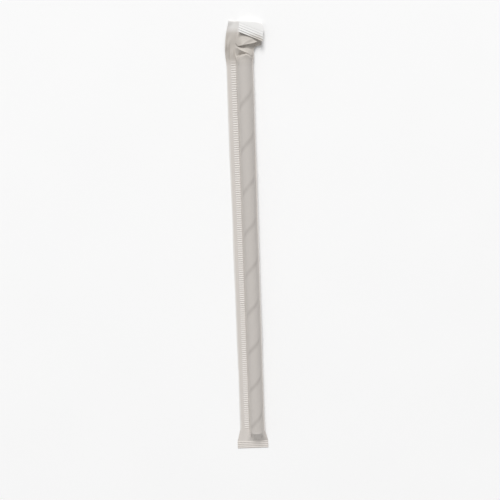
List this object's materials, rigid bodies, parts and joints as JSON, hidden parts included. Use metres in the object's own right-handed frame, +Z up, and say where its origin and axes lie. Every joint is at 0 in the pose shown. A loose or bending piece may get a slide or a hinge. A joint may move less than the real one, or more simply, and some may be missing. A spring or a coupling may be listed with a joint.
{
  "type": "wrapped drinking straw",
  "caption": "Drinking straw sealed in a thin paper sleeve with a knurled side seam and crimped flat ends, the upper end puckered and folded back.",
  "frame": {"origin": "on the table, under the middle of the straw's axis", "axes": "+X along the straw towards the folded end, +Y towards the knurled seam, +Z up"},
  "size_m": [0.2289, 0.0207, 0.0063],
  "materials": {
    "wrapper_paper": "thin uncoated white paper, slightly see-through",
    "straw_paper": "black wound paper, matt"
  },
  "bodies": {
    "root": {"paper_wrapper": "wrapper_paper", "paper_straw": "straw_paper"}
  },
  "joints": []
}
